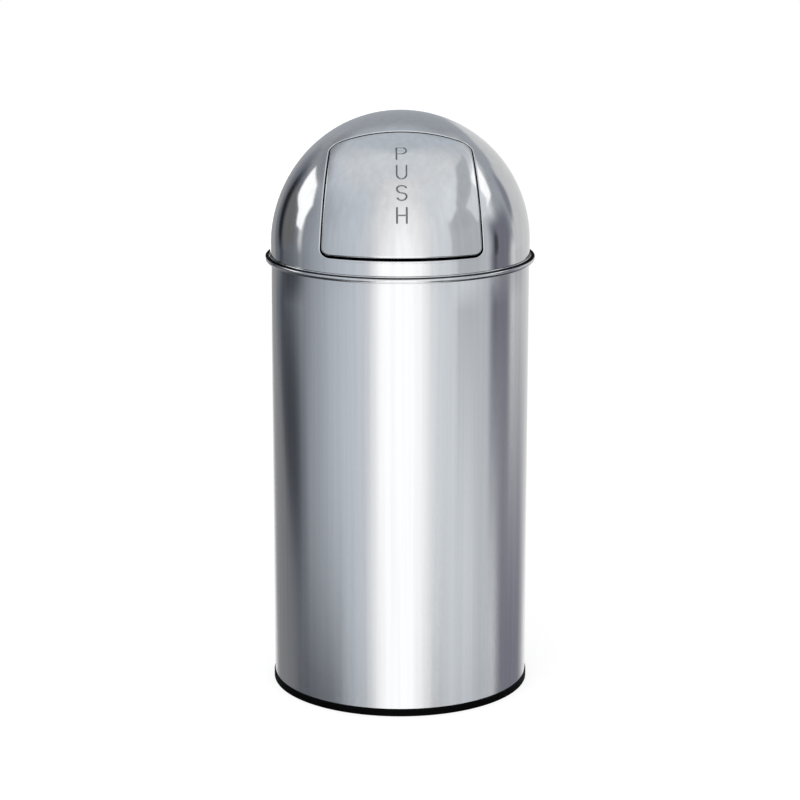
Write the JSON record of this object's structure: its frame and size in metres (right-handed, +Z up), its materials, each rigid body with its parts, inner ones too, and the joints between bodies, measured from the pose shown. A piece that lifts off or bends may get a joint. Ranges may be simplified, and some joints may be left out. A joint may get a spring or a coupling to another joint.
{
  "type": "dome top waste receptacle",
  "caption": "Round stainless steel floor bin with a lift-off dome lid, a sprung push flap in the dome and a galvanised inner bucket with a carry handle.",
  "frame": {"origin": "Middle of the foot ring's underside, on the floor, under the middle of the round body", "axes": "+Z up along the body, -Y to the front where the push flap is, +X to the right as seen from the front"},
  "size_m": [0.304, 0.304, 0.66],
  "materials": {
    "stainless_sheet": "satin stainless steel sheet",
    "galvanised_sheet": "dull galvanised steel sheet",
    "steel_wire": "plated steel wire and rod",
    "black_plastic": "matt black plastic",
    "white_nylon": "natural white nylon",
    "black_rubber": "black rubber"
  },
  "bodies": {
    "body": {"body_tube": "stainless_sheet", "base_plate": "galvanised_sheet", "base_ring": "black_plastic"},
    "dome_lid": {"dome_shell": "stainless_sheet", "dome_collar": "stainless_sheet", "hinge_bracket_left": "stainless_sheet", "hinge_bracket_right": "stainless_sheet", "hinge_bush_left": "white_nylon", "hinge_bush_right": "white_nylon", "hinge_rod": "steel_wire", "rod_cap_left": "black_plastic", "rod_cap_right": "black_plastic", "return_spring": "steel_wire"},
    "flap": {"flap_panel": "stainless_sheet", "flap_ear_left": "stainless_sheet", "flap_ear_right": "stainless_sheet", "flap_stop_left": "stainless_sheet", "flap_stop_right": "stainless_sheet", "flap_bumper_left": "black_rubber", "flap_bumper_right": "black_rubber"},
    "bucket": {"liner_shell": "galvanised_sheet", "liner_base": "galvanised_sheet", "liner_ear_left": "galvanised_sheet", "liner_ear_right": "galvanised_sheet", "liner_rivets": "steel_wire"},
    "bail": {"bail_wire": "steel_wire", "bail_grip": "black_plastic"}
  },
  "joints": [
    {"name": "lid_lift", "type": "slide", "parent": "body", "child": "dome_lid", "axis": [0, 0, 1], "range_m": [0, 0.66]},
    {"name": "flap_push", "type": "hinge", "parent": "dome_lid", "child": "flap", "pos_m": [0, -0.04364, 0.61935], "axis": [1, 0, 0], "range_deg": [0, 60], "stiffness_Nm_per_rad": 0.12, "springref_deg": -80.21, "deforming": ["return_spring"]},
    {"name": "bucket_lift", "type": "slide", "parent": "body", "child": "bucket", "axis": [0, 0, 1], "range_m": [0, 0.495]},
    {"name": "bail_swing", "type": "hinge", "parent": "bucket", "child": "bail", "pos_m": [0, 0, 0.4584], "axis": [1, 0, 0], "range_deg": [0, 176]}
  ],
  "couplings": [
    {"joint": "bucket_lift", "follows": "lid_lift", "ratio": 0.75}
  ]
}
